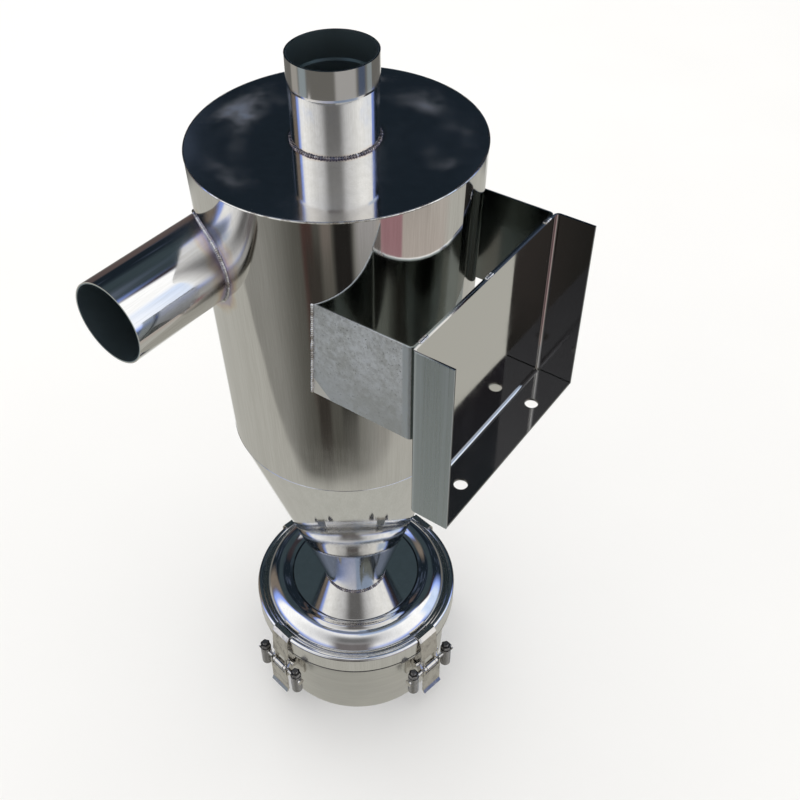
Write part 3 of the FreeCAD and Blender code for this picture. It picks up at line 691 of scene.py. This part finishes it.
def make_welds():
    outlet = ring_spots(pipe_radius + 0.7 * MM, plate_high.z + 0.5 * MM, 2.1 * MM)
    weld_piece("outlet_weld_bead", WELD, "outlet_weld", (1.25, 0.95, 0.95), (outlet, 3))
    neck = ring_spots(neck_radius + 0.6 * MM, cone_low.z + 0.5 * MM, 2.1 * MM)
    weld_piece("neck_weld_bead", WELD, "neck_weld", (1.3, 1.1, 1.0), (neck, 5))
    inlet = saddle_spots(pipe_radius + 0.7 * MM, 1.5 * MM)
    weld_piece("inlet_weld_bead", BEAD, "inlet_weld", (1.5, 1.35, 1.32), (inlet, 7))
    weld_piece("strap_weld_beads", BEAD, "strap_welds", (1.3, 1.1, 1.0),
               (strap_spots(-1), 10), (strap_spots(1), 12))
    weld_piece("web_tack_beads", BEAD, "web_tacks", (1.2, 1.7, 0.9), (tack_spots(), 17))


def spun(bm, geometry, steps):
    """Spin a profile all the way round the axis."""
    bmesh.ops.spin(bm, geom=geometry, cent=(0, 0, 0), axis=(0, 0, 1),
                   angle=2 * math.pi, steps=steps, use_merge=True)


def torus(bm, radius, level, thickness):
    """A ring about the axis, from a small circle."""
    upright = Matrix.Translation((radius, 0, level)) @ Matrix.Rotation(math.pi / 2, 4, "X")
    circle = bmesh.ops.create_circle(bm, segments=8, radius=thickness, matrix=upright)
    verts = circle["verts"]
    edges = list({edge for vert in verts for edge in vert.link_edges})
    spun(bm, verts + edges, 160)


def make_lid():
    """The pressed lid: a broad round ring between a fine groove and the rolled edge."""
    edge, top = lid_high.x, lid_high.z
    sheet, flat_drop = 1.0 * MM, 5.0 * MM
    # millimetres in from the edge and down from the top, from the edge inwards
    outline = [(0, 21.6), (0, 20.7), (1.0, 20.3), (1.9, 18.6), (3.2, 15.2), (5.0, 11.3),
               (7.4, 7.4), (10.2, 4.2), (13.2, 1.8), (16.4, 0.5), (19.2, 0.1), (21.8, 0.7),
               (24.4, 2.1), (26.8, 3.6), (28.8, 4.5), (30.2, 4.9), (31.0, 5.3), (31.6, 5.3),
               (32.2, 5.0), (33.0, 5.0)]
    upper = [(edge - inset * MM, top - drop * MM) for inset, drop in outline]
    upper.append((neck_radius, top - flat_drop))
    upper.append((neck_radius - 1.2 * MM, top - flat_drop))
    lower = [(radius, level - sheet) for radius, level in reversed(upper[1:])]
    lower[-1] = (lower[-1][0] - 0.8 * MM, upper[0][1])
    bm = bmesh.new()
    verts = [bm.verts.new((radius, 0, level)) for radius, level in upper + lower]
    edges = [bm.edges.new((verts[number - 1], verts[number])) for number in range(len(verts))]
    spun(bm, verts + edges, 192)
    finished(bm, "lid_dome", FINISH["lid_pressing"], "separator",
             replaced=["lid_pressing"])


def make_edges():
    """Ground, rounded weld round the top plate's edge, and the barrel's foot seam."""
    bm = bmesh.new()
    torus(bm, plate_radius - 0.55 * MM, plate_high.z - 0.62 * MM, 0.8 * MM)
    finished(bm, "plate_edge_weld", BEAD, "separator")
    bm = bmesh.new()
    torus(bm, cone_top - 0.25 * MM, cone_high.z, 0.45 * MM)
    finished(bm, "foot_seam", FINISH["cone_shell"], "separator")


# ---- studio ----------------------------------------------------------------------------

VIEW_AZIMUTH = -51.34       # degrees from +X to the viewer, about the object's axis
VIEW_ELEVATION = 44.364     # degrees above the floor
VIEW_ROLL = -2.608
VIEW_DISTANCE = 0.9058      # metres from the point on the axis the camera looks at
FOCUS_HEIGHT = 0.3526       # that point's height
LENS = 45.786               # millimetres
SHIFT = (0.0647, 0.01205)
KEY_PLACE = (-1.6, 0.9, 2.4)
KEY_SIZE = 1.6              # metres across
KEY_POWER = 8.0             # watts


def make_camera():
    azimuth = math.radians(VIEW_AZIMUTH)
    elevation = math.radians(VIEW_ELEVATION)
    back = Vector((math.cos(azimuth) * math.cos(elevation),
                   math.sin(azimuth) * math.cos(elevation), math.sin(elevation)))
    right = Vector((0, 0, 1)).cross(back).normalized()
    up = back.cross(right)
    roll = Matrix.Rotation(math.radians(VIEW_ROLL), 3, back)
    lens = bpy.data.cameras.new("camera")
    lens.lens = LENS
    lens.shift_x, lens.shift_y = SHIFT
    camera = bpy.data.objects.new("camera", lens)
    bpy.context.scene.collection.objects.link(camera)
    turn = roll @ Matrix((right, up, back)).transposed()
    place = Vector((0, 0, FOCUS_HEIGHT)) + back * VIEW_DISTANCE
    camera.matrix_world = Matrix.Translation(place) @ turn.to_4x4()
    bpy.context.scene.camera = camera


def make_card_group():
    """A soft-edged card in the surroundings, painted over what is there already."""
    tree, given, result = new_group(
        "studio_card",
        [("Colour", COLOUR, grey(0)), ("Azimuth", FLOAT, 0), ("Elevation", FLOAT, 0),
         ("Centre", FLOAT, 0), ("Half width", FLOAT, 10), ("Height", FLOAT, 0),
         ("Half height", FLOAT, 10), ("Soft", FLOAT, 2), ("Card", COLOUR, grey(1))],
        [("Colour", COLOUR)])
    get = given.outputs

    def window(value, half):
        near = sums(tree, "SUBTRACT", half, get["Soft"])
        far = sums(tree, "ADD", half, get["Soft"])
        return step_between(tree, value, far, near)

    off = half_turn(tree, sums(tree, "SUBTRACT", get["Azimuth"], get["Centre"]))
    across = window(sums(tree, "ABSOLUTE", off), get["Half width"])
    rise = sums(tree, "SUBTRACT", get["Elevation"], get["Height"])
    upward = window(sums(tree, "ABSOLUTE", rise), get["Half height"])
    share = sums(tree, "MULTIPLY", across, upward)
    tree.links.new(mix_colours(tree, share, get["Colour"], get["Card"]),
                   result.inputs["Colour"])
    return tree


# Cards round the object: centre azimuth from the viewer, half width, height, half height,
# softness (all in degrees) and colour. A later card covers the ones before it.
CARDS = (
    # the room above the floor
    (2, 112, 27, 40, 6, (0.30, 0.42, 0.95)),        # bluish rim of the bright wall
    (2, 101, 27, 33, 5, (1.02, 1.03, 1.05)),        # bright wall behind the viewer
    (-8, 52, 24, 30, 26, (0.62, 0.63, 0.66)),       # it falls off towards the middle
    (-6, 24, 22, 16, 13, (0.15, 0.15, 0.155)),      # and is darkest straight behind
    (92, 15, 6, 19, 6, (0.62, 0.74, 0.98)),         # the wall's bluish end
    (113, 13, 46, 12, 4, (0.034, 0.026, 0.030)),    # dark timber beyond it
    (-119, 9, 10, 50, 6, (0.19, 0.16, 0.135)),      # brown post at the wall's other end
    (40, 40, 58, 7, 6, (0.36, 0.46, 0.66)),         # bluish beam above the wall
    (-7, 20, -8, 18, 7, (0.15, 0.14, 0.145)),       # someone standing by the viewer
    (0, 180, 76, 13, 6, (0.16, 0.19, 0.26)),        # ceiling
    (180, 70, 54, 9, 8, (0.036, 0.052, 0.062)),     # beam over the far side
    (-165, 11, -6, 19, 5, (0.092, 0.07, 0.068)),    # brown post on the far side
    # the band along the floor's far edge
    (0, 180, -24, 8, 3, (0.15, 0.148, 0.14)),       # skirting all the way round
    (-106, 12, -24, 9, 4, (0.37, 0.36, 0.34)),      # pale things along it
    (-80, 11, -24, 9, 4, (0.28, 0.33, 0.36)),
    (30, 26, -24, 9, 5, (0.40, 0.40, 0.40)),
    (72, 10, -24, 9, 4, (0.075, 0.10, 0.16)),       # a dark blue one
    (96, 8, -24, 9, 4, (0.27, 0.31, 0.33)),
    (168, 14, -26, 9, 4, (0.62, 0.62, 0.60)),       # light on the far side
    (-172, 5, -26, 10, 2, (0.95, 0.95, 0.94)),      # and its bright middle
)
# Marks on the floor, painted over its shadow in the same way.
FLOOR_MARKS = (
    (-172, 12, -46, 16, 4, (0.62, 0.62, 0.60)),             # light on the far side
    (60, 32, -40, 6, 5, (0.38, 0.34, 0.31)),                # warm, lit floor
    (40, 9, -36, 4.0, 1.2, (0.27, 0.15, 0.165)),            # reddish thing lying there
    (20, 8, -36, 3.5, 3, (0.30, 0.29, 0.29)),               # grey thing beside it
    (-26, 4.5, -37, 9.5, 2.0, (0.055, 0.032, 0.028)),       # dark leg
    (-11, 4, -35, 4.5, 2.5, (0.15, 0.13, 0.115)),           # brown floor between the legs
    (-22, 6, -44.5, 6, 2.5, (0.034, 0.030, 0.026)),         # foot
    (2, 7.5, -39, 9.5, 2.5, (0.014, 0.013, 0.012)),         # black leg
)
FLOOR_TONE = (0.385, 0.38, 0.35)
NEAR_FLOOR_TONE = (0.40, 0.40, 0.37)        # right under the object
FLOOR_LINE = (-30.5, -32.5)                 # elevations between which room meets floor
SHADOW_TONE = (0.225, 0.222, 0.205)
SHADOW_HEART = (0.072, 0.070, 0.061)
HEART_AZIMUTH = -20.0
SHADOW_AZIMUTH = -10.0
SHADOW_TIP = -51.7                          # elevation of the shadow's end on the floor
SHADOW_CLIMB = 13.5                         # how much higher its edge is SHADOW_SPREAD aside
SHADOW_SPREAD = 80.0
NAVY = (0.010, 0.0155, 0.0225)
CLOUD = (0.05, 0.065, 0.10)
PLAIN_LIGHT = (1.0, 0.995, 0.985)
PLAIN_POWER = 1.08
ROOM_POWER = 1.27


def make_surroundings():
    """What the polished steel reflects. Anything but a reflection sees plain pale light."""
    world = bpy.data.worlds.new("studio")
    bpy.context.scene.world = world
    world.use_nodes = True
    world.cycles.sampling_method = "NONE"
    tree = world.node_tree
    tree.nodes.clear()
    way = put(tree, "ShaderNodeTexCoord").outputs["Generated"]
    x, y, z = split(tree, way)[:3]
    azimuth = sums(tree, "DEGREES", sums(tree, "ARCTAN2", y, x))
    azimuth = half_turn(tree, sums(tree, "SUBTRACT", azimuth, VIEW_AZIMUTH))
    elevation = sums(tree, "DEGREES", sums(tree, "ARCSINE", z))
    group = make_card_group()

    def paint(colour, cards):
        for centre, width, height, half, soft, card in cards:
            colour = place_group(tree, group, {
                "Colour": colour, "Azimuth": azimuth, "Elevation": elevation,
                "Centre": centre, "Half width": width, "Height": height,
                "Half height": half, "Soft": soft, "Card": tone(*card)}).outputs[0]
        return colour

    clouds = noise(tree, way, 7.0, 3.0)
    night = mix_colours(tree, step_between(tree, clouds, 0.5, 0.68), tone(*NAVY),
                        tone(*CLOUD))
    room = paint(night, CARDS)
    # the viewer's shadow on the floor: a tongue that narrows towards the object
    aside = sums(tree, "ABSOLUTE", sums(tree, "SUBTRACT", azimuth, SHADOW_AZIMUTH))
    spread = sums(tree, "DIVIDE", aside, SHADOW_SPREAD)
    climb = sums(tree, "MULTIPLY", sums(tree, "POWER", spread, 4.0), SHADOW_CLIMB)
    shade = sums(tree, "SUBTRACT", elevation, sums(tree, "ADD", climb, SHADOW_TIP))
    shade = step_between(tree, shade, -0.5, 0.9)
    heart = sums(tree, "ABSOLUTE", sums(tree, "SUBTRACT", azimuth, HEART_AZIMUTH))
    shadow = mix_colours(tree, step_between(tree, heart, 8.0, 52.0), tone(*SHADOW_HEART),
                         tone(*SHADOW_TONE))
    lit = mix_colours(tree, step_between(tree, elevation, -58.0, -80.0), tone(*FLOOR_TONE),
                      tone(*NEAR_FLOOR_TONE))
    floor = paint(mix_colours(tree, shade, lit, shadow), FLOOR_MARKS)
    seen = mix_colours(tree, step_between(tree, elevation, *FLOOR_LINE), room, floor)
    glossy = put(tree, "ShaderNodeLightPath").outputs["Is Glossy Ray"]
    colour = mix_colours(tree, glossy, tone(*PLAIN_LIGHT), seen)
    power = blend(tree, glossy, PLAIN_POWER, ROOM_POWER)
    background = put(tree, "ShaderNodeBackground", {"Color": colour, "Strength": power})
    out = put(tree, "ShaderNodeOutputWorld")
    tree.links.new(background.outputs[0], out.inputs[0])


def make_floor():
    """A wide pale floor that the steel doesn't mirror."""
    bm = bmesh.new()
    bmesh.ops.create_grid(bm, x_segments=1, y_segments=1, size=6.0)
    mesh = bpy.data.meshes.new("floor")
    bm.to_mesh(mesh)
    bm.free()
    material, tree, shader, where = new_finish("pale_floor", metallic=0.0)
    cloud = noise(tree, where, 3.0, 2.0)
    colour = mix_colours(tree, cloud, tone(0.86, 0.855, 0.845), tone(0.90, 0.895, 0.885))
    tree.links.new(colour, shader.inputs["Base Color"])
    shader.inputs["Roughness"].default_value = 0.9
    shader.inputs["Specular IOR Level"].default_value = 0.1
    mesh.materials.append(material)
    floor = bpy.data.objects.new("floor", mesh)
    bpy.context.scene.collection.objects.link(floor)
    floor.visible_glossy = False


def make_light(name, place, size, power):
    lamp = bpy.data.lights.new(name, "AREA")
    lamp.size = size
    lamp.energy = power
    light = bpy.data.objects.new(name, lamp)
    bpy.context.scene.collection.objects.link(light)
    light.location = place
    aim = Vector((0, 0, total_height / 2)) - Vector(place)
    light.rotation_mode = "QUATERNION"
    light.rotation_quaternion = aim.to_track_quat("-Z", "Y")
    light.visible_glossy = False


bpy.context.scene.view_settings.view_transform = "Standard"
make_camera()
make_surroundings()
make_floor()
make_light("key_light", KEY_PLACE, KEY_SIZE, KEY_POWER)
dress_frame()
make_welds()
make_lid()
make_edges()
